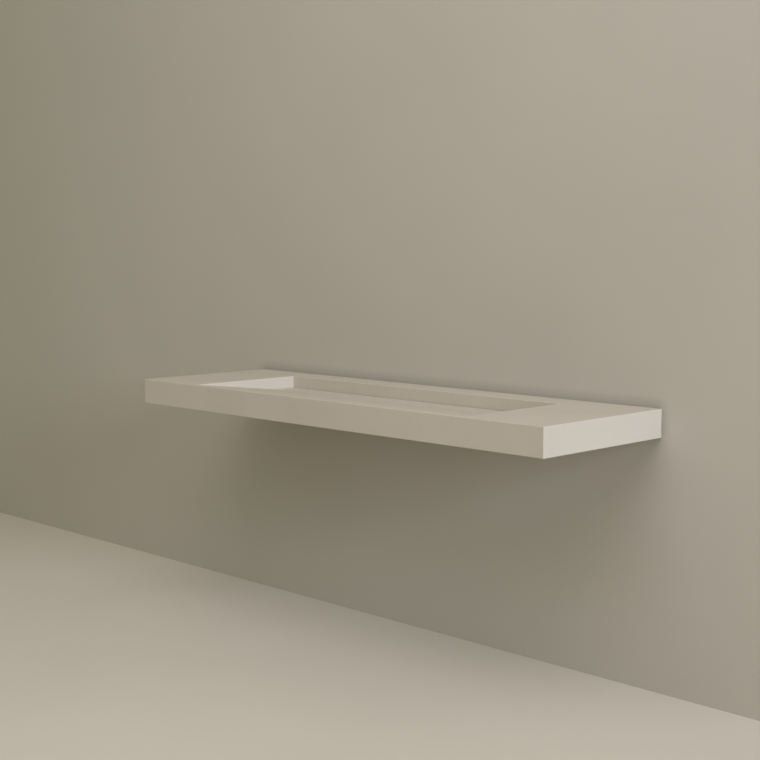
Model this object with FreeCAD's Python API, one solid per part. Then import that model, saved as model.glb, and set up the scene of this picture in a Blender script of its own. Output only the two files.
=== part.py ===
import FreeCAD, Part
import math
import os

# Wall-hung vanity top, millimetres.
# X runs along the wall, Y runs into the wall, Z is up.
# The origin is on the wall plane, at the middle of the length, level with the deck.

# Solid-surface shell
length = 1800.0
depth = 555.0
height = 86.0
sheet = 12.0
edge_round = 2.0

# Basin
basin_length = 1215.0
back_deck_depth = 105.0
trough_width = 90.0
trough_clear = 14.0
trough_fall = 6.0

# Lift-out cover over the trough
cover_slot = 3.0
cover_end_gap = 2.0
cover_bevel = 0.8
rest_length = 24.0
rest_width = 14.0
rest_inset = 60.0
rests_per_row = 4
pad_radius = 5.0
pad_thick = 2.0

# Waste fitting, inch and a quarter thread
waste_flat = 110.0
waste_hole_gap = 2.0
upper_seal_thick = 2.0
seal_rim = 1.5
flange_rim = 10.5
flange_thick = 3.0
flange_round = 1.0
drain_ring_radius = 11.5
drain_hole_radius = 3.6
drain_holes = 8
tail_radius = 20.955
tail_wall = 3.0
tail_length = 62.0
tail_chamfer = 1.0
tail_groove_width = 2.0
tail_groove_depth = 0.8
tail_groove_gap = 3.0
bar_width = 10.0
bar_height = 7.0
bolt_radius = 3.0
bolt_length = 12.0
sink_land = 0.5
bolt_socket_radius = 2.0
bolt_socket_depth = 1.6
lower_seal_thick = 4.0
nut_wall = 6.0
nut_height = 10.0
nut_flange_rim = 11.0
nut_flange_thick = 3.0

# Plywood inside
board = 18.0
board_gap = 3.0
rail_height = 60.0
rib_recess = 6.0
ramp_rib_names = ("ramp_rib_left", "ramp_rib_mid_left", "ramp_rib_mid_right", "ramp_rib_right")

# Steel wall brackets
plate_thick = 6.0
plate_drop = 14.0
plate_lift = 2.0
plate_side_gap = 14.0
plate_round = 6.0
wall_hole_radius = 5.5
wall_hole_edge = 22.0
wall_hole_rows = 28.0
arm_height = 40.0
arm_width = 20.0
arm_wall = 2.0
arm_round = 2.5
arm_front_gap = 94.0
arm_place_shares = (-0.5, 0.5)
cap_thick = 3.0
cap_plug = 15.0
screw_radius = 2.5
screw_bite = 10.0
screw_head_radius = 4.5
screw_head_height = 3.2
screw_head_round = 1.2
screw_wall_inset = 80.0
screw_end_inset = 60.0

# Fits
thread_fit = 0.05
plug_fit = 0.2
hole_clearance = 0.3
overrun = 5.0
near = 0.001

# Levels and stations that follow from the sizes above
half_length = length / 2
inner_half = half_length - sheet
basin_half = basin_length / 2
front = -depth
lip_back = front + sheet
basin_back = -back_deck_depth
ramp_back = basin_back - trough_width
ramp_run = ramp_back - lip_back
floor_low = sheet - height
cover_under = floor_low + trough_fall + trough_clear
cover_top = cover_under + sheet
basin_depth = -cover_top
slope = basin_depth / ramp_run
sheet_upright = sheet * math.hypot(ramp_run, basin_depth) / ramp_run
waste_y = (ramp_back + basin_back) / 2
flange_under = floor_low + upper_seal_thick
flange_top = flange_under + flange_thick
tail_end = flange_under - tail_length
nut_top = -height - lower_seal_thick
nut_under = nut_top - nut_height
bore_radius = tail_radius - tail_wall
flange_radius = tail_radius + flange_rim
nut_flange_radius = tail_radius + nut_flange_rim
bolt_head = flange_thick - sink_land
bay_inner = basin_half + sheet
bay_middle = (bay_inner + inner_half) / 2
plate_half = (inner_half - bay_inner) / 2 - plate_side_gap
plate_top = -sheet - plate_drop
plate_under = plate_lift - height
board_under = -sheet - board
arm_under = board_under - arm_height
arm_end = lip_back + arm_front_gap + cap_thick
screw_tip = board_under + screw_bite
up = FreeCAD.Vector(0, 0, 1)


def box(x0, x1, y0, y1, z0, z1):
    return Part.makeBox(x1 - x0, y1 - y0, z1 - z0, FreeCAD.Vector(x0, y0, z0))


def post(x, y, z0, z1, radius):
    return Part.makeCylinder(radius, z1 - z0, FreeCAD.Vector(x, y, z0), up)


def prism(points, along):
    wire = Part.makePolygon(points + points[:1])
    return Part.Face(wire).extrude(along)


def prism_across(yz, x0, x1):
    points = [FreeCAD.Vector(x0, y, z) for y, z in yz]
    return prism(points, FreeCAD.Vector(x1 - x0, 0, 0))


def prism_deep(xz, y0, y1):
    points = [FreeCAD.Vector(x, y0, z) for x, z in xz]
    return prism(points, FreeCAD.Vector(0, y1 - y0, 0))


def edges_on(shape, *tests):
    return [e for e in shape.Edges if any(all(t(v.Point) for v in e.Vertexes) for t in tests)]


def same(a, b):
    return abs(a - b) < near


# Edges that run from front to back
def edges_deep(shape):
    return [e for e in shape.Edges if not same(e.Vertexes[0].Y, e.Vertexes[-1].Y)]


def save(name, *solids):
    shape = solids[0] if len(solids) == 1 else Part.makeCompound(list(solids))
    shape.exportStep("parts/" + name + ".step")


# Underside of the inclined basin floor at a given distance from the wall
def ramp_under(y):
    return -(y - lip_back) * slope - sheet_upright


# Top of the trough floor, which falls from both ends to a flat round the waste
def trough_top(x):
    run = basin_half - waste_flat / 2
    rise_share = max(0, abs(x) - waste_flat / 2) / run
    return floor_low + trough_fall * rise_share


def front_apron():
    apron = box(-half_length, half_length, front, lip_back, -height, 0)
    outer = edges_on(apron, lambda p: same(p.y, front)) + edges_deep(apron)
    return apron.makeFillet(edge_round, outer)


def end_panel(side):
    x0, x1 = sorted((side * inner_half, side * half_length))
    panel = box(x0, x1, lip_back, 0, -height, 0)
    outer = edges_on(
        panel,
        lambda p: same(abs(p.x), half_length) and same(p.z, 0),
        lambda p: same(abs(p.x), half_length) and same(p.z, -height),
    )
    return panel.makeFillet(edge_round, outer)


# Level sheet with the basin opening in it, open at the front lip and rounded along the rim
def deck_sheet():
    deck = box(-inner_half, inner_half, lip_back, 0, -sheet, 0)
    opening = box(-basin_half, basin_half, lip_back - overrun, basin_back, -sheet - overrun, overrun)
    deck = deck.cut(opening)
    rim = edges_on(deck, lambda p: same(abs(p.x), basin_half) and same(p.z, 0))
    return deck.makeFillet(edge_round, rim)


def side_deck(side):
    x0, x1 = sorted((side * basin_half, side * inner_half))
    return deck_sheet().common(box(x0, x1, lip_back, basin_back, -sheet, 0))


def back_deck():
    return deck_sheet().common(box(-inner_half, inner_half, basin_back, 0, -sheet, 0))


def basin_ramp():
    outline = [
        (lip_back, 0),
        (lip_back, -sheet_upright),
        (ramp_back, ramp_under(ramp_back)),
        (ramp_back, cover_top),
    ]
    return prism_across(outline, -basin_half, basin_half)


def basin_side_wall(side):
    x0, x1 = sorted((side * basin_half, side * bay_inner))
    return box(x0, x1, lip_back, basin_back + sheet, -height, -sheet)


def basin_back_wall():
    return box(-basin_half, basin_half, basin_back, basin_back + sheet, -height, -sheet)


def trough_front_wall():
    y0 = ramp_back - sheet
    outline = [
        (y0, ramp_under(y0)),
        (y0, -height),
        (ramp_back, -height),
        (ramp_back, ramp_under(ramp_back)),
    ]
    return prism_across(outline, -basin_half, basin_half)


def trough_floor():
    stations = (-basin_half, -waste_flat / 2, waste_flat / 2, basin_half)
    upper = [(x, trough_top(x)) for x in stations]
    lower = [(x, trough_top(x) - sheet) for x in reversed(stations)]
    floor = prism_deep(upper + lower, ramp_back, basin_back)
    hole = post(0, waste_y, -height - overrun, floor_low + overrun, tail_radius + waste_hole_gap)
    return floor.cut(hole)


def drain_cover():
    x = basin_half - cover_end_gap
    y0 = ramp_back + cover_slot
    y1 = basin_back - cover_slot
    cover = box(-x, x, y0, y1, cover_under, cover_top)
    return cover.makeChamfer(cover_bevel, edges_on(cover, lambda p: same(p.z, cover_top)))


# Middle of each block that the cover rests on, in a front row and a back row
def rest_places():
    reach = basin_half - rest_inset
    rows = (ramp_back + rest_width / 2, basin_back - rest_width / 2)
    step_share = 2 / (rests_per_row - 1)
    return [(reach * (i * step_share - 1), y) for y in rows for i in range(rests_per_row)]


def cover_rest(x, y):
    x0 = x - rest_length / 2
    x1 = x + rest_length / 2
    top = cover_under - pad_thick
    outline = [(x0, trough_top(x0)), (x1, trough_top(x1)), (x1, top), (x0, top)]
    return prism_deep(outline, y - rest_width / 2, y + rest_width / 2)


def cover_pad(x, y):
    return post(x, y, cover_under - pad_thick, cover_under, pad_radius)


def waste_ring(z0, z1, outer, inner):
    ring = post(0, waste_y, z0, z1, outer)
    return ring.cut(post(0, waste_y, z0 - overrun, z1 + overrun, inner))


def bolt_sink(clearance):
    place = FreeCAD.Vector(0, waste_y, flange_top - bolt_head)
    radius = bolt_radius + clearance
    return Part.makeCone(radius, radius + bolt_head, bolt_head, place, up)


def waste_grid():
    disc = post(0, waste_y, flange_under, flange_top, flange_radius)
    rim = edges_on(disc, lambda p: same(p.z, flange_top))
    disc = disc.makeFillet(flange_round, [e for e in rim if e.Closed])
    for i in range(drain_holes):
        turn = 2 * math.pi * i / drain_holes
        x = drain_ring_radius * math.cos(turn)
        y = waste_y + drain_ring_radius * math.sin(turn)
        disc = disc.cut(post(x, y, flange_under - overrun, flange_top + overrun, drain_hole_radius))
    shank = post(0, waste_y, flange_under - overrun, flange_top + overrun, bolt_radius + hole_clearance)
    return disc.cut(shank).cut(bolt_sink(hole_clearance))


def waste_tail():
    tube = waste_ring(tail_end, flange_under, tail_radius, bore_radius)
    bar = box(-tail_radius, tail_radius, waste_y - bar_width / 2, waste_y + bar_width / 2,
              flange_under - bar_height, flange_under)
    bar = bar.common(post(0, waste_y, flange_under - bar_height, flange_under, tail_radius))
    tail = tube.fuse(bar).removeSplitter()
    tapped = post(0, waste_y, tail_end, flange_under + overrun, bolt_radius + thread_fit)
    groove_top = nut_under - tail_groove_gap
    groove = waste_ring(groove_top - tail_groove_width, groove_top,
                        tail_radius + overrun, tail_radius - tail_groove_depth)
    tail = tail.cut(tapped).cut(groove)
    mouth = edges_on(tail, lambda p: same(p.z, tail_end))
    lead_in = [e for e in mouth if same(e.Curve.Radius, tail_radius)]
    return tail.makeChamfer(tail_chamfer, lead_in)


def waste_bolt():
    shank = post(0, waste_y, flange_top - bolt_length, flange_top, bolt_radius)
    bolt = shank.fuse(bolt_sink(0)).removeSplitter()
    socket_floor = flange_top - bolt_socket_depth
    return bolt.cut(post(0, waste_y, socket_floor, flange_top + overrun, bolt_socket_radius))


def waste_upper_seal():
    return waste_ring(floor_low, flange_under, flange_radius - seal_rim, tail_radius + hole_clearance)


def waste_lower_seal():
    outer = nut_flange_radius - seal_rim
    return waste_ring(nut_top, nut_top + lower_seal_thick, outer, tail_radius + hole_clearance)


def waste_back_nut():
    corner = (tail_radius + nut_wall) / math.cos(math.pi / 6)
    turns = [math.pi / 3 * i for i in range(6)]
    middle = FreeCAD.Vector(0, waste_y, nut_under)
    points = [middle + FreeCAD.Vector(math.cos(a), math.sin(a), 0) * corner for a in turns]
    body = prism(points, FreeCAD.Vector(0, 0, nut_height))
    flange = post(0, waste_y, nut_top - nut_flange_thick, nut_top, nut_flange_radius)
    nut = body.fuse(flange).removeSplitter()
    return nut.cut(post(0, waste_y, nut_under - overrun, nut_top + overrun, tail_radius + thread_fit))


def ramp_rib(index):
    pitch = basin_length / len(ramp_rib_names)
    middle = pitch * index + pitch / 2 - basin_half
    y1 = ramp_back - sheet
    low = rib_recess - height
    outline = [(lip_back, ramp_under(lip_back)), (lip_back, low), (y1, low), (y1, ramp_under(y1))]
    return prism_across(outline, middle - board / 2, middle + board / 2)


def rear_rail():
    return box(-bay_inner, bay_inner, -board, 0, -sheet - rail_height, -sheet)


# Middles of the two arms of one bracket, the one nearer the basin first
def arm_middles(side):
    return [side * (bay_middle + share * plate_half) for share in arm_place_shares]


def screw_stations():
    return (-plate_thick - screw_wall_inset, arm_end + screw_end_inset)


def deck_board(side):
    x0, x1 = sorted((side * (bay_inner + board_gap), side * (inner_half - board_gap)))
    panel = box(x0, x1, lip_back + board_gap, -plate_thick - board_gap, board_under, -sheet)
    for x in arm_middles(side):
        for y in screw_stations():
            panel = panel.cut(post(x, y, board_under - overrun, screw_tip, screw_radius + thread_fit))
    return panel


def wall_plate(side):
    middle = side * bay_middle
    plate = box(middle - plate_half, middle + plate_half, -plate_thick, 0, plate_under, plate_top)
    plate = plate.makeFillet(plate_round, edges_deep(plate))
    back = FreeCAD.Vector(0, 1, 0)
    for dx in (wall_hole_edge - plate_half, plate_half - wall_hole_edge):
        for dz in (-wall_hole_rows / 2, wall_hole_rows / 2):
            z = (plate_under + plate_top) / 2 + dz
            start = FreeCAD.Vector(middle + dx, -plate_thick - overrun, z)
            plate = plate.cut(Part.makeCylinder(wall_hole_radius, plate_thick + 2 * overrun, start, back))
    return plate


def bracket_arm(x):
    w = arm_width / 2
    tube = box(x - w, x + w, arm_end, -plate_thick, arm_under, board_under)
    tube = tube.makeFillet(arm_round, edges_deep(tube))
    hollow = box(x - w + arm_wall, x + w - arm_wall, arm_end - overrun, -plate_thick + overrun,
                 arm_under + arm_wall, board_under - arm_wall)
    arm = tube.cut(hollow)
    for y in screw_stations():
        drill = post(x, y, arm_under - overrun, board_under + overrun, screw_radius + hole_clearance)
        arm = arm.cut(drill)
    return arm


def arm_cap(x):
    w = arm_width / 2
    inset = arm_wall + plug_fit
    head = box(x - w, x + w, arm_end - cap_thick, arm_end, arm_under, board_under)
    head = head.makeFillet(arm_round, edges_deep(head))
    plug = box(x - w + inset, x + w - inset, arm_end, arm_end + cap_plug,
               arm_under + inset, board_under - inset)
    return head.fuse(plug).removeSplitter()


def arm_screw(x, y):
    shank = post(x, y, arm_under, screw_tip, screw_radius)
    head = post(x, y, arm_under - screw_head_height, arm_under, screw_head_radius)
    rim = edges_on(head, lambda p: same(p.z, arm_under - screw_head_height))
    head = head.makeFillet(screw_head_round, [e for e in rim if e.Closed])
    return head.fuse(shank).removeSplitter()


os.makedirs("parts", exist_ok=True)

save("front_apron", front_apron())
save("left_end_panel", end_panel(-1))
save("right_end_panel", end_panel(1))
save("left_deck", side_deck(-1))
save("right_deck", side_deck(1))
save("back_deck", back_deck())

save("basin_ramp", basin_ramp())
save("basin_left_wall", basin_side_wall(-1))
save("basin_right_wall", basin_side_wall(1))
save("basin_back_wall", basin_back_wall())
save("trough_front_wall", trough_front_wall())
save("trough_floor", trough_floor())

save("drain_cover", drain_cover())
save("cover_rests", *[cover_rest(x, y) for x, y in rest_places()])
save("cover_pads", *[cover_pad(x, y) for x, y in rest_places()])

save("waste_grid", waste_grid())
save("waste_tail", waste_tail())
save("waste_bolt", waste_bolt())
save("waste_upper_seal", waste_upper_seal())
save("waste_lower_seal", waste_lower_seal())
save("waste_back_nut", waste_back_nut())

save("left_deck_board", deck_board(-1))
save("right_deck_board", deck_board(1))
save("rear_rail", rear_rail())
for index, name in enumerate(ramp_rib_names):
    save(name, ramp_rib(index))

save("left_wall_plate", wall_plate(-1))
save("right_wall_plate", wall_plate(1))
caps = []
screws = []
for side_name, side in (("left", -1), ("right", 1)):
    for place, x in zip(("inner", "outer"), arm_middles(side)):
        save(side_name + "_" + place + "_arm", bracket_arm(x))
        caps.append(arm_cap(x))
        screws += [arm_screw(x, y) for y in screw_stations()]
save("arm_end_caps", *caps)
save("arm_screws", *screws)
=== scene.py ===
import bmesh
import bpy
import math
import numpy as np
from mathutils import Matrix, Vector


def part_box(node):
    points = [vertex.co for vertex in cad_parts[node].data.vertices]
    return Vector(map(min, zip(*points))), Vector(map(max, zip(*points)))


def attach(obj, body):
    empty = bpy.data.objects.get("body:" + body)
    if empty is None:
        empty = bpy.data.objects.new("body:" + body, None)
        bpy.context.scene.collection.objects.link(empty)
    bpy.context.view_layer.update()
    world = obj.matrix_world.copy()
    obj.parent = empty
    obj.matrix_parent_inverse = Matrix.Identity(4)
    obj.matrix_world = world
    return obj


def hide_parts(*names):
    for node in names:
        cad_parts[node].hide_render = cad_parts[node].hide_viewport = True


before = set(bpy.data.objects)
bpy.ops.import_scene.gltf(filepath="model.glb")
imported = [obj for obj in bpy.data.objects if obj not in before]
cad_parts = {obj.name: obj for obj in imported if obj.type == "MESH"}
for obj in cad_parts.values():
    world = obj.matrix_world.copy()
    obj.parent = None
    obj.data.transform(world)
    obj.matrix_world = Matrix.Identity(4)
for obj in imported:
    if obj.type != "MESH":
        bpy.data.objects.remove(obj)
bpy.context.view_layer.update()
scene = bpy.context.scene
print("frame loaded,", len(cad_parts), "nodes")


# Node materials

noiseDetail = {"fine": 2.0, "usual": 3.0, "rich": 4.0}
middleBand = (0.3, 0.7)  # where most of a noise's values lie


class Nodes:
    # one node tree and the few nodes that everything here is mixed from
    def __init__(self, owner, output):
        owner.use_nodes = True
        self.tree = owner.node_tree
        self.tree.nodes.clear()
        self.surface = self.add(output).inputs["Surface"]

    def add(self, kind, inputs=None, **settings):
        made = self.tree.nodes.new("ShaderNode" + kind)
        for key, value in settings.items():
            setattr(made, key, value)
        for key, value in (inputs or {}).items():
            self.plug(made.inputs[key], value)
        return made

    def plug(self, socket, value):
        if isinstance(value, bpy.types.NodeSocket):
            self.tree.links.new(value, socket)
        else:
            socket.default_value = value

    def math(self, operation, a, b=0.0):
        return self.add("Math", {0: a, 1: b}, operation=operation).outputs[0]

    def mixed(self, share, a, b):
        self.plug(self.surface, self.add("MixShader", {0: share, 1: a, 2: b}).outputs[0])


class Look(Nodes):
    # one material, with its patterns on Object coordinates
    def __init__(self, name):
        self.material = bpy.data.materials.new(name)
        super().__init__(self.material, "OutputMaterial")
        self.spot = self.add("TexCoord").outputs["Object"]

    def noise(self, scale, detail="usual", spot=None, swirl=0.0):
        wired = {"Vector": spot or self.spot, "Scale": scale}
        wired.update({"Detail": noiseDetail[detail], "Distortion": swirl})
        return self.add("TexNoise", wired).outputs["Fac"]

    def streaks(self, scale, detail="usual", spot=None, swirl=0.0):
        stretched = self.add("Mapping", {"Vector": spot or self.spot, "Scale": scale}).outputs[0]
        return self.noise(1.0, detail, stretched, swirl)

    def cells(self, scale):
        colour = self.add("TexVoronoi", {"Vector": self.spot, "Scale": scale}).outputs["Color"]
        return self.add("SeparateColor", {"Color": colour}).outputs["Red"]

    def split(self, vector):
        return self.add("SeparateXYZ", {"Vector": vector}).outputs

    def join(self, x, y, z):
        return self.add("CombineXYZ", {"X": x, "Y": y, "Z": z}).outputs[0]

    def facing(self):
        return self.split(self.add("NewGeometry").outputs["True Normal"])

    def remap(self, value, band, ends=(0.0, 1.0)):
        wired = {"Value": value, "From Min": band[0], "From Max": band[1]}
        wired.update({"To Min": ends[0], "To Max": ends[1]})
        return self.add("MapRange", wired).outputs["Result"]

    def share(self, value, band, most):
        return self.remap(value, band, (0.0, most))

    def blend(self, share, a, b):
        mix = self.add("Mix", data_type="RGBA")
        for socket, value in ((mix.inputs[0], share), (mix.inputs[6], a), (mix.inputs[7], b)):
            self.plug(socket, value)
        return mix.outputs[2]

    def bump(self, height, strength, distance, under=None):
        wired = {"Height": height, "Strength": strength, "Distance": distance}
        if under:
            wired["Normal"] = under
        return self.add("Bump", wired).outputs["Normal"]

    def shade(self, colour, roughness, normal, **fixed):
        wired = {"Base Color": colour, "Roughness": roughness, "Normal": normal}
        wired.update({key.replace("_", " "): value for key, value in fixed.items()})
        return self.add("BsdfPrincipled", wired).outputs[0]

    def finish(self, *parts, **fixed):
        self.plug(self.surface, self.shade(*parts, **fixed))
        return self.material


def tone(colour, share=1.0):
    return tuple(c * share for c in colour) + (1.0,)


# Matt mineral sheet: faint clouding, sub-millimetre grains, and on faces that look down a coarser sanded back
# and a slightly darker tone
sheetLook = {
    "base": (0.55, 0.508, 0.443),
    "cloudScale": 4.5, "cloudBand": (0.32, 0.68), "cloudSpread": 0.022,
    "grainScale": 1150.0, "grainShare": 0.38,
    "darkBand": (0.88, 0.93), "darkGrain": 0.72, "paleBand": (0.10, 0.05), "paleGrain": 1.22,
    "dustScale": 640.0, "dustBand": (0.45, 0.75), "dustShare": 0.10, "dustTone": 0.80,
    "wornScale": 16.0, "roughness": (0.66, 0.70), "gloss": 0.3,
    "peelScale": 1500.0, "peelStrength": 0.35, "peelDepth": 0.00012,
    "underTurn": (-0.3, -0.8), "underRougher": 0.14, "underShare": 0.35, "underTone": 0.88,
    "sandScale": (26.0, 700.0, 700.0), "sandElsewhere": 0.06, "sandStrength": 0.6, "sandDepth": 0.0004,
}


def mineralSheet(name, s):
    look, base = Look(name), s["base"]
    cloud = look.remap(look.noise(s["cloudScale"], "rich"), s["cloudBand"])
    colour = look.blend(cloud, tone(base, 1 - s["cloudSpread"]), tone(base, 1 + s["cloudSpread"]))
    grain = look.cells(s["grainScale"])
    for kind in ("dark", "pale"):
        speck = look.share(grain, s[kind + "Band"], s["grainShare"])
        colour = look.blend(speck, colour, tone(base, s[kind + "Grain"]))
    dust = look.share(look.noise(s["dustScale"], "fine"), s["dustBand"], s["dustShare"])
    colour = look.blend(dust, colour, tone(base, s["dustTone"]))
    under = look.remap(look.facing()["Z"], s["underTurn"])  # 1 on faces that look down
    # faces that look down are made a little darker in tone
    colour = look.blend(look.math("MULTIPLY", under, s["underShare"]), colour, tone(base, s["underTone"]))
    rough = look.remap(look.noise(s["wornScale"]), middleBand, s["roughness"])
    rough = look.math("ADD", rough, look.math("MULTIPLY", under, s["underRougher"]))
    peel = look.bump(look.noise(s["peelScale"], "fine"), s["peelStrength"], s["peelDepth"])
    coarse = look.math("ADD", under, s["sandElsewhere"])
    sanded = look.math("MULTIPLY", look.streaks(s["sandScale"]), coarse)
    normal = look.bump(sanded, s["sandStrength"], s["sandDepth"], peel)
    return look.finish(colour, rough, normal, Specular_IOR_Level=s["gloss"])


# Birch plywood: swirled veneer on the two faces, stacked plies with glue lines on the cut edges
plyLook = {
    "pale": (0.62, 0.45, 0.27), "deep": (0.47, 0.31, 0.165), "pore": (0.30, 0.185, 0.095),
    "cross": (0.40, 0.26, 0.14), "glue": (0.13, 0.075, 0.04),
    "swirlStretch": (1.6, 15.0, 15.0), "swirl": 0.7,
    "rings": 34.0, "ringBand": (-0.6, 1.0), "ringShare": 0.75,
    "poreStretch": (55.0, 1500.0, 1500.0), "poreBand": (0.60, 0.74), "poreShare": 0.6,
    "poreStrength": 0.5, "poreDepth": 0.0003,
    "boardThick": 0.018, "plies": 13, "paleTone": 0.92,
    "fibreScale": 1300.0, "fibreBand": (0.35, 0.7), "fibreShare": 0.5,
    "glueBand": (0.42, 0.46), "glueShare": 0.85,  # in plies from the middle of a ply
    "faceTurn": (0.4, 0.6), "wornScale": 40.0, "roughness": (0.55, 0.74),
}


def plywood(name, grain, thick, start, s):
    look = Look(name)
    axes = look.split(look.spot)
    across = ({"X", "Y", "Z"} - {grain, thick}).pop()
    along = look.join(axes[grain], axes[across], axes[thick])
    field = look.streaks(s["swirlStretch"], spot=along, swirl=s["swirl"])
    rings = look.math("SINE", look.math("MULTIPLY", field, s["rings"]))
    veneer = look.blend(look.share(rings, s["ringBand"], s["ringShare"]), tone(s["pale"]), tone(s["deep"]))
    pores = look.share(look.streaks(s["poreStretch"], "fine", along), s["poreBand"], s["poreShare"])
    veneer = look.blend(pores, veneer, tone(s["pore"]))
    layer = look.math("DIVIDE", look.math("SUBTRACT", axes[thick], start), s["boardThick"] / s["plies"])
    odd = look.math("MODULO", look.math("FLOOR", layer), 2.0)
    within = look.math("ABSOLUTE", look.math("SUBTRACT", look.math("FRACT", layer), 0.5))
    edge = look.blend(odd, tone(s["pale"], s["paleTone"]), tone(s["cross"]))
    fibre = look.share(look.noise(s["fibreScale"]), s["fibreBand"], s["fibreShare"])
    edge = look.blend(fibre, edge, tone(s["pore"]))
    edge = look.blend(look.share(within, s["glueBand"], s["glueShare"]), edge, tone(s["glue"]))
    flat = look.remap(look.math("ABSOLUTE", look.facing()[thick]), s["faceTurn"])
    colour = look.blend(flat, edge, veneer)
    rough = look.remap(look.noise(s["wornScale"]), middleBand, s["roughness"])
    return look.finish(colour, rough, look.bump(pores, s["poreStrength"], s["poreDepth"]))


# Textured dark powder coat on the brackets
coatLook = {
    "base": (0.036, 0.037, 0.040), "bright": (0.060, 0.061, 0.064),
    "broadScale": 7.0, "broadShare": 0.45,
    "speckBand": (0.55, 0.75), "speckShare": 0.5, "speckTone": 1.3,
    "peelScale": 1100.0, "peelStrength": 0.5, "peelDepth": 0.00025, "roughness": (0.40, 0.56),
}


def powderCoat(name, s):
    look = Look(name)
    speck = look.noise(s["peelScale"])
    broad = look.share(look.noise(s["broadScale"]), middleBand, s["broadShare"])
    colour = look.blend(broad, tone(s["base"]), tone(s["bright"]))
    bright = look.share(speck, s["speckBand"], s["speckShare"])
    colour = look.blend(bright, colour, tone(s["bright"], s["speckTone"]))
    rough = look.remap(speck, middleBand, s["roughness"])
    return look.finish(colour, rough, look.bump(speck, s["peelStrength"], s["peelDepth"]))


# Plated metal: smudges change the gloss and fine scratches follow one direction
smudgeLook = {
    "scale": 95.0, "swirl": 0.6, "dullBand": (0.40, 0.72), "glossBand": (0.35, 0.70), "scratchStrength": 0.4,
}
chromeLook = {
    "base": (0.74, 0.74, 0.75), "dull": (0.62, 0.61, 0.60),
    "roughness": (0.07, 0.17), "scratch": (90.0, 2200.0, 2200.0), "scratchDepth": 0.00003,
}
nickelLook = {
    "base": (0.66, 0.63, 0.58), "dull": (0.50, 0.46, 0.40),
    "roughness": (0.20, 0.36), "scratch": (300.0, 900.0, 2600.0), "scratchDepth": 0.00005,
}
zincLook = {
    "base": (0.60, 0.60, 0.58), "dull": (0.47, 0.46, 0.40),
    "roughness": (0.24, 0.42), "scratch": (700.0, 700.0, 2400.0), "scratchDepth": 0.00005,
}


def platedMetal(name, s, smudges=smudgeLook):
    look = Look(name)
    smudge = look.noise(smudges["scale"], "rich", swirl=smudges["swirl"])
    colour = look.blend(look.remap(smudge, smudges["dullBand"]), tone(s["base"]), tone(s["dull"]))
    rough = look.remap(smudge, smudges["glossBand"], s["roughness"])
    scratch = look.bump(look.streaks(s["scratch"], "fine"), smudges["scratchStrength"], s["scratchDepth"])
    return look.finish(colour, rough, scratch, Metallic=1.0)


# Rubber, silicone and moulded plastic share one recipe with their own tones
mouldLook = {"bloomScale": 70.0, "bloomBand": (0.38, 0.72), "textureStrength": 0.5}
sealLook = {
    "base": (0.020, 0.020, 0.021), "bloom": (0.055, 0.054, 0.052),
    "roughness": (0.58, 0.80), "texture": 900.0, "depth": 0.0002,
}
siliconeLook = {
    "base": (0.58, 0.58, 0.56), "bloom": (0.68, 0.68, 0.66),
    "roughness": (0.34, 0.52), "texture": 600.0, "depth": 0.0001,
}
capLook = {
    "base": (0.024, 0.024, 0.025), "bloom": (0.042, 0.042, 0.043),
    "roughness": (0.44, 0.60), "texture": 1700.0, "depth": 0.0002,
}


def mouldedPolymer(name, s, mould=mouldLook):
    look = Look(name)
    bloom = look.remap(look.noise(mould["bloomScale"], "rich"), mould["bloomBand"])
    colour = look.blend(bloom, tone(s["base"]), tone(s["bloom"]))
    texture = look.noise(s["texture"], "fine")
    rough = look.remap(texture, middleBand, s["roughness"])
    return look.finish(colour, rough, look.bump(texture, mould["textureStrength"], s["depth"]))


finishes = {
    "solid_surface": mineralSheet("mineralSheet", sheetLook),
    "bracket_steel": powderCoat("powderCoat", coatLook),
    "screw_steel": platedMetal("zincPlate", zincLook),
    "waste_metal": platedMetal("chromePlate", chromeLook),
    "seal_rubber": mouldedPolymer("sealRubber", sealLook),
    "pad_silicone": mouldedPolymer("padSilicone", siliconeLook),
    "cap_plastic": mouldedPolymer("capPlastic", capLook),
}
nickelPlate = platedMetal("nickelPlate", nickelLook)

# grain direction and thickness direction of each board
boardLay = {
    "left_deck_board": ("Y", "Z"), "right_deck_board": ("Y", "Z"), "rear_rail": ("X", "Y"),
    "ramp_rib_left": ("Y", "X"), "ramp_rib_mid_left": ("Y", "X"),
    "ramp_rib_mid_right": ("Y", "X"), "ramp_rib_right": ("Y", "X"),
}

for name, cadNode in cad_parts.items():
    for place, slotMaterial in enumerate(cadNode.data.materials):
        if name in boardLay:
            grain, thick = boardLay[name]
            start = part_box(name)[0]["XYZ".index(thick)]
            cadNode.data.materials[place] = plywood("plywood_" + name, grain, thick, start, plyLook)
        else:
            cadNode.data.materials[place] = finishes[slotMaterial.name]
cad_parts["waste_back_nut"].data.materials[0] = nickelPlate
print("finishes set on the nodes,", len(bpy.data.materials), "materials")


# New pieces

meshCare = {"mergeWithin": 1e-7, "sharpAngle": 38.0}
fullTurn, quarterTurn = 2 * np.pi, np.pi / 2


def skin(points, closeRows, closeColumns):
    # rows by columns of points become quads, joined round where a direction is closed
    rows, columns = points.shape[:2]
    rowSteps = np.arange(rows if closeRows else rows - 1)
    columnSteps = np.arange(columns if closeColumns else columns - 1)
    i, j = np.meshgrid(rowSteps, columnSteps, indexing="ij")
    iNext, jNext = (i + 1) % rows, (j + 1) % columns
    corners = [i * columns + j, i * columns + jNext, iNext * columns + jNext, iNext * columns + j]
    return points.reshape(-1, 3), np.stack(corners, axis=-1).reshape(-1, 4)


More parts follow.
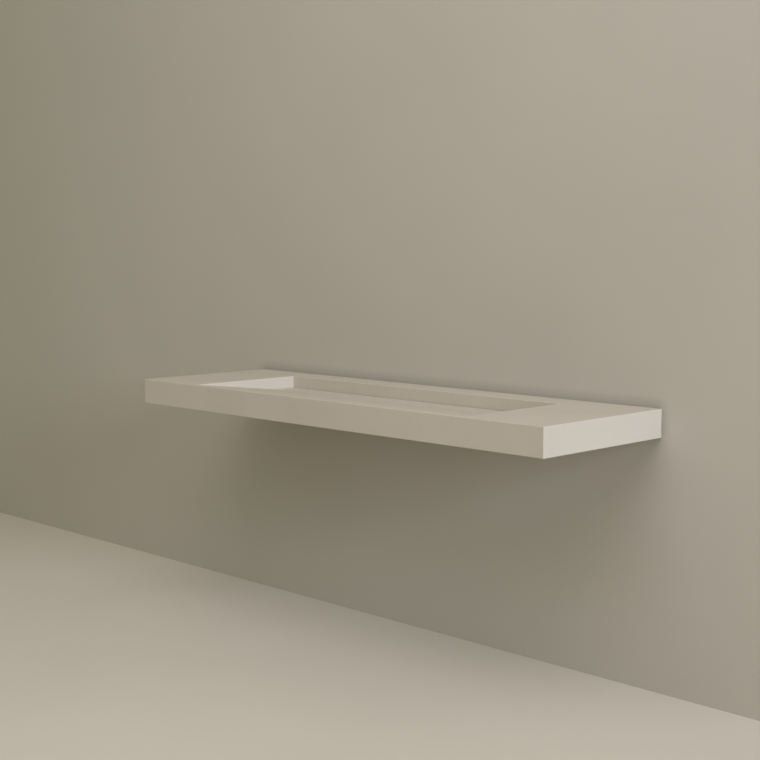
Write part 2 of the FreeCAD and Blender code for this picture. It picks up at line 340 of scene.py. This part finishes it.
def piece(name, skins, material, body="top", stands=()):
    starts = np.cumsum([0] + [len(points) for points, quads in skins])
    points = np.concatenate([p for p, q in skins])
    quads = np.concatenate([q + start for (p, q), start in zip(skins, starts)])
    mesh = bpy.data.meshes.new(name)
    mesh.from_pydata(points.tolist(), [], quads.tolist())
    work = bmesh.new()
    work.from_mesh(mesh)
    bmesh.ops.remove_doubles(work, verts=work.verts, dist=meshCare["mergeWithin"])  # closes the poles
    bmesh.ops.recalc_face_normals(work, faces=work.faces)
    work.to_mesh(mesh)
    work.free()
    mesh.polygons.foreach_set("use_smooth", np.ones(len(mesh.polygons), bool))
    mesh.set_sharp_from_angle(angle=math.radians(meshCare["sharpAngle"]))
    mesh.materials.append(material)
    made = bpy.data.objects.new(name, mesh)
    scene.collection.objects.link(made)
    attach(made, body)
    if stands:
        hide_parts(*stands)
    print("piece", name, len(mesh.polygons), "faces")


def smooth(low, high, value):
    # an S curve from 0 at low to 1 at high
    share = np.clip((value - low) / (high - low), 0, 1)
    return share * share * (3 - 2 * share)


# Pan-head wood screws up through the arms
armScrew = {
    "headRadius": 0.0045, "headHeight": 0.0032, "headRound": 0.0012, "dome": 0.00025,
    "shankRadius": 0.0025, "neck": 0.004,
    "threadDepth": 0.0006, "threadPitch": 0.0022, "threadLength": 0.024,
    "crossReach": 0.0027, "crossWidth": 0.00115, "crossDepth": 0.0017,
    "crossFlare": 1.35, "crossFade": 0.92, "crossRise": 0.6, "crossRim": 0.5,
    "wallInset": 0.080, "endInset": 0.060,
    "around": 64, "faceRings": 26, "bendRings": 8, "threadRings": 44,
}


def screwSkin(x, y, headTop, tip, s):
    # a profile of radius and height turned round the screw's axis; the cross recess is pressed into the head,
    # deepest at the middle, and the thread is a ramp that climbs one pitch in each turn
    turn = np.linspace(0, fullTurn, s["around"], endpoint=False)
    flat = np.linspace(0, s["headRadius"] - s["headRound"], s["faceRings"])
    bend = np.linspace(0, quarterTurn, s["bendRings"])[1:]
    low = headTop - s["headHeight"]
    headR = np.concatenate([flat, flat[-1] + s["headRound"] * np.sin(bend), [s["headRadius"]]])
    headZ = np.concatenate([low + s["dome"] * (flat / flat[-1]) ** 2,
                            low + s["headRound"] - (s["headRound"] - s["dome"]) * np.cos(bend), [headTop]])
    threadZ = np.linspace(tip - s["threadLength"], tip - s["shankRadius"], s["threadRings"])
    shankZ = np.concatenate([[headTop, headTop + s["neck"]], threadZ])
    radius = np.concatenate([headR, np.full(len(shankZ), s["shankRadius"]), [0.0]])[:, None]
    height = np.concatenate([headZ, shankZ, [tip]])[:, None] + 0 * turn
    onThread = np.zeros_like(radius)
    onThread[-len(threadZ):-1] = 1.0  # every thread ring after the first, without the tip
    climb = (height - threadZ[0]) / s["threadPitch"] - turn / fullTurn
    radius = radius - np.abs(2 * (climb % 1) - 1) * s["threadDepth"] * onThread
    px, py = radius * np.cos(turn), radius * np.sin(turn)

    def slotDepth(a, b):
        half, reach = s["crossWidth"] / 2, s["crossReach"]
        wall = 1 - smooth(half, half * s["crossFlare"], np.abs(b))
        return wall * (1 - smooth(reach * s["crossFade"], reach, np.abs(a)))

    sunk = np.maximum(slotDepth(px, py), slotDepth(py, px)) * s["crossDepth"]
    sunk *= 1 - s["crossRise"] * np.hypot(px, py) / s["crossReach"]
    onFace = height < low + s["headRound"] * s["crossRim"]
    height = height + np.where(onFace, np.maximum(sunk, 0), 0)
    return skin(np.stack([x + px, y + py, height], axis=-1), False, True)


armNodes = ["left_inner_arm", "left_outer_arm", "right_inner_arm", "right_outer_arm"]
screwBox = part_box("arm_screws")
screwSkins = []
for armName in armNodes:
    low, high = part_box(armName)
    middle = (low.x + high.x) / 2
    for station in (high.y - armScrew["wallInset"], low.y + armScrew["endInset"]):
        screwSkins.append(screwSkin(middle, station, low.z, screwBox[1].z, armScrew))
piece("arm_wood_screws", screwSkins, finishes["screw_steel"], stands=["arm_screws"])


# Fillet welds that hold each arm to its plate: down one side, across below, up the other side
armWeld = {
    "leg": 0.0042, "bulge": 0.0009, "bulgeLean": 0.7, "coin": 0.0024, "ripple": 0.10, "rippleMiddle": 0.6,
    "corner": 0.0025, "topGap": 0.001, "steps": 260, "sweepSteps": 9,
}


def weldSkin(low, high, s):
    # a rounded triangle carried along the arm's outline on the plate; its size swells with each coin of weld
    # and closes to a point at both ends
    r = s["corner"]
    side = (high.z - low.z) - 2 * r - s["topGap"]
    foot = (high.x - low.x) - 2 * r
    arc = r * quarterTurn
    path = np.linspace(0, 2 * side + 2 * arc + foot, s["steps"])
    angle = np.pi + np.clip((path - side) / arc, 0, 1) * quarterTurn
    angle += np.clip((path - side - arc - foot) / arc, 0, 1) * quarterTurn
    across = np.clip(path - side - arc, 0, foot)
    down = np.clip(path, 0, side) - np.clip(path - side - 2 * arc - foot, 0, side)
    baseX = low.x + r + across + r * np.cos(angle)
    baseZ = high.z - r - s["topGap"] - down + r * np.sin(angle)
    coin = path / s["coin"]
    grow = 1 + s["ripple"] * (np.abs(np.sin(np.pi * coin)) - s["rippleMiddle"])
    ends = np.clip(np.minimum(path, path[-1] - path) / s["leg"], 0, 1)
    size = s["leg"] * grow * np.sqrt(ends * (2 - ends))
    sweep = np.linspace(0, quarterTurn, s["sweepSteps"])
    bulge = s["bulge"] / s["leg"] * np.sin(2 * sweep) * s["bulgeLean"]
    out = np.concatenate([[0.0], 1 - np.sin(sweep) ** 2 + bulge])
    up = np.concatenate([[0.0], np.sin(sweep) ** 2 + bulge])
    outward, lifted = size[:, None] * out, size[:, None] * up
    x = baseX[:, None] + outward * np.cos(angle)[:, None]
    z = baseZ[:, None] + outward * np.sin(angle)[:, None]
    return skin(np.stack([x, high.y - lifted, z], axis=-1), False, True)


for armName in armNodes:
    piece(armName.replace("_arm", "_weld"), [weldSkin(*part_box(armName), armWeld)],
          finishes["bracket_steel"])


# Threaded tail of the waste, with its cross bar under the grid
wasteTail = {
    "wall": 0.003, "pitch": 0.002309, "depth": 0.00125, "threadTop": -0.0875, "chamfer": 0.0016,
    "topFade": 0.003, "endFade": 0.001, "around": 112, "ringsPerPitch": 8,
    "barWidth": 0.010, "barHeight": 0.007, "barRound": 0.0012, "barBite": 0.0004, "barCornerSteps": 5,
}


def tailSkin(low, high, s):
    # the wall's section, up outside and down inside, turned round the axis; outside, a rounded ridge climbs
    # one pitch in each turn and fades out at the chamfer and above the thread
    centre = (low + high) / 2
    outer = (high.x - low.x) / 2
    turn = np.linspace(0, fullTurn, s["around"], endpoint=False)
    threadZ = np.arange(low.z, s["threadTop"], s["pitch"] / s["ringsPerPitch"])
    z = np.concatenate([threadZ, [s["threadTop"], high.z, high.z, low.z]])
    radius = np.full(len(z), outer)
    radius[-2:] = outer - s["wall"]
    radius[:len(threadZ)] -= np.clip(s["chamfer"] - (threadZ - low.z), 0, None)
    climb = (z[:, None] - low.z) / s["pitch"] - turn / fullTurn
    ridge = 0.5 - 0.5 * np.cos(fullTurn * climb)
    onThread = np.where(np.arange(len(z)) < len(threadZ), 1.0, 0.0)
    fade = smooth(s["threadTop"], s["threadTop"] - s["topFade"], z) * onThread
    fade *= smooth(low.z, low.z + s["endFade"], z)
    radius = radius[:, None] - s["depth"] * ridge * fade[:, None]
    points = np.stack([centre.x + radius * np.cos(turn), centre.y + radius * np.sin(turn),
                       z[:, None] + 0 * turn], axis=-1)
    return skin(points, True, True)


def barSkin(low, high, s):
    # a rounded rectangle carried along X from one side of the bore to the other, its ends bent to the bore
    centre = (low + high) / 2
    bore = (high.x - low.x) / 2 - s["wall"] + s["barBite"]
    middleZ, steps = high.z - s["barHeight"] / 2, s["barCornerSteps"]
    angle = np.concatenate([np.linspace(0, quarterTurn, steps) + k * quarterTurn for k in range(4)])
    cy = np.repeat([1, -1, -1, 1], steps) * (s["barWidth"] / 2 - s["barRound"])
    cz = np.repeat([1, 1, -1, -1], steps) * (s["barHeight"] / 2 - s["barRound"])
    along = np.array([-1, -1, -0.5, 0, 0.5, 1, 1])[:, None]
    full = np.array([0, 1, 1, 1, 1, 1, 0])[:, None]  # each end closes to a point
    y = (cy + s["barRound"] * np.cos(angle)) * full
    z = (cz + s["barRound"] * np.sin(angle)) * full
    x = along * np.sqrt(bore ** 2 - y ** 2)
    return skin(np.stack([centre.x + x, centre.y + y, middleZ + z], axis=-1), False, True)


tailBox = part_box("waste_tail")
piece("waste_threaded_tail", [tailSkin(*tailBox, wasteTail), barSkin(*tailBox, wasteTail)],
      nickelPlate, stands=["waste_tail"])


# Stage, lamps and camera

stage = {
    "floorLevel": -0.853, "floorReach": 9.0, "wallAt": -0.0008, "wallReach": 7.0, "wallTop": 3.2,
    "floorTone": (0.64, 0.605, 0.53), "wallTone": (0.495, 0.47, 0.415), "gridSteps": 9,
    "cloudScale": 1.3, "cloudSpread": 0.02, "roughness": (0.80, 0.90),
    "peelScale": 220.0, "peelStrength": 0.2, "peelDepth": 0.0005,
    # the corner keys set a painted contact shade: the wall is darkened where the object is close
    "cornerReach": 0.04, "cornerSamples": 8, "cornerBand": (0.5, 1.0), "cornerShade": 0.6, "cornerTone": 0.5,
    "cornerStart": (0.15, 0.35),  # heights above the floor
    "fade": (4.5, 6.8),
}


def stageLook(name, colour, s):
    # plain and pale in front, with a painted contact shade that darkens it close to the object; clear from
    # behind and far out, so that the views from the back and below stay open, and behind the deck boards,
    # where the object's back is open
    look = Look(name)
    place = look.split(look.spot)
    cloud = look.remap(look.noise(s["cloudScale"], "rich"), middleBand)
    mottledAndPaintedShade = look.blend(cloud, tone(colour, 1 - s["cloudSpread"]), tone(colour, 1 + s["cloudSpread"]))
    # painted shade: ambient occlusion finds the object close by, and the wall colour is darkened there like a
    # contact shadow
    nearby = look.add("AmbientOcclusion", {"Distance": s["cornerReach"]}, samples=s["cornerSamples"])
    corner = look.remap(nearby.outputs["AO"], s["cornerBand"], (s["cornerShade"], 0.0))
    aboveFloor = look.remap(place["Z"], [s["floorLevel"] + height for height in s["cornerStart"]])
    mottledAndPaintedShade = look.blend(look.math("MULTIPLY", corner, aboveFloor), mottledAndPaintedShade, tone(colour, s["cornerTone"]))
    rough = look.remap(cloud, (0.0, 1.0), s["roughness"])
    peel = look.bump(look.noise(s["peelScale"], "fine"), s["peelStrength"], s["peelDepth"])
    behind = look.add("NewGeometry").outputs["Backfacing"]
    away = look.add("VectorMath", {0: look.spot}, operation="LENGTH").outputs["Value"]
    gone = look.math("MAXIMUM", behind, look.remap(away, s["fade"]))
    low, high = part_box("right_deck_board")
    outward = look.math("ABSOLUTE", place["X"])
    slot = look.math("GREATER_THAN", outward, low.x)
    slot = look.math("MULTIPLY", slot, look.math("LESS_THAN", outward, high.x))
    slot = look.math("MULTIPLY", slot, look.math("GREATER_THAN", place["Z"], (low.z + high.z) / 2))
    slot = look.math("MULTIPLY", slot, look.math("LESS_THAN", place["Z"], high.z))
    gone = look.math("MAXIMUM", gone, slot)
    look.mixed(gone, look.shade(mottledAndPaintedShade, rough, peel), look.add("BsdfTransparent").outputs[0])
    return look.material


def stageSheet(name, corner, along, up, material, steps=stage["gridSteps"]):
    # a grid of points: the corner plus shares of two edges
    u, v = np.meshgrid(np.linspace(0, 1, steps), np.linspace(0, 1, steps), indexing="ij")
    points = np.array(corner) + u[..., None] * np.array(along) + v[..., None] * np.array(up)
    vertices, quads = skin(points, False, False)
    mesh = bpy.data.meshes.new(name)
    mesh.from_pydata(vertices.tolist(), [], quads[:, ::-1].tolist())
    mesh.materials.append(material)
    sheet = bpy.data.objects.new(name, mesh)
    scene.collection.objects.link(sheet)


floorReach, wallReach, floorLevel = stage["floorReach"], stage["wallReach"], stage["floorLevel"]
stageSheet("floor", (-floorReach, -floorReach, floorLevel), (2 * floorReach, 0, 0), (0, 2 * floorReach, 0),
           stageLook("floorPaint", stage["floorTone"], stage))
stageSheet("backdrop", (-wallReach, stage["wallAt"], floorLevel), (2 * wallReach, 0, 0),
           (0, 0, stage["wallTop"] - floorLevel), stageLook("backdropPaint", stage["wallTone"], stage))

lamps = {
    "keyLamp": {"at": (13.0, -2.4, 3.0), "size": (4.6, 4.0), "power": 1168.0, "tone": (0.833, 0.876, 1.0)},
    "topLamp": {"at": (1.5, -2.6, 3.4), "size": (4.0, 3.0), "power": 85.0, "tone": (1.0, 0.935, 0.97)},
    "rearLamp": {"at": (0.4, 3.4, 1.5), "size": (3.0, 2.2), "power": 90.0, "tone": (1.0, 0.98, 0.95)},
}
lampAim = Vector((0.0, -0.3, 0.0))

for name, lamp in lamps.items():
    data = bpy.data.lights.new(name, "AREA")
    data.shape = "RECTANGLE"
    data.size, data.size_y = lamp["size"]
    data.energy = lamp["power"]
    data.color = lamp["tone"]
    made = bpy.data.objects.new(name, data)
    made.location = lamp["at"]
    made.rotation_euler = (lampAim - Vector(lamp["at"])).to_track_quat("-Z", "Y").to_euler()
    made.visible_camera = False
    scene.collection.objects.link(made)

# the air lights the object in one tone, and shows another to the camera, in gloss and past clear surfaces
air = {"light": (1.0, 0.945, 0.67), "strength": 0.335, "shown": (0.60, 0.57, 0.51)}
scene.world = bpy.data.worlds.new("studioAir")
airNodes = Nodes(scene.world, "OutputWorld")
lit = airNodes.add("Background", {"Color": tone(air["light"]), "Strength": air["strength"]})
shown = airNodes.add("Background", {"Color": tone(air["shown"])})
rays = airNodes.add("LightPath").outputs
seen = airNodes.math("MAXIMUM", rays["Is Camera Ray"], rays["Is Glossy Ray"])
seen = airNodes.math("MAXIMUM", seen, rays["Is Transmission Ray"])
airNodes.mixed(seen, lit.outputs[0], shown.outputs[0])
print("stage and lamps set")

camera = {
    "lens": 63.707, "sensor": 36.0, "farClip": 60.0,
    "at": (3.0777, -3.3417, 0.4754), "pitch": -5.7163, "yaw": 45.0102,
}
cameraData = bpy.data.cameras.new("photoCamera")
cameraData.lens = camera["lens"]
cameraData.sensor_width = camera["sensor"]
cameraData.clip_end = camera["farClip"]
cameraObject = bpy.data.objects.new("photoCamera", cameraData)
cameraObject.location = camera["at"]
cameraObject.rotation_euler = (math.radians(90 + camera["pitch"]), 0.0, math.radians(camera["yaw"]))
scene.collection.objects.link(cameraObject)
scene.camera = cameraObject
scene.view_settings.view_transform = "Standard"
print("camera set")
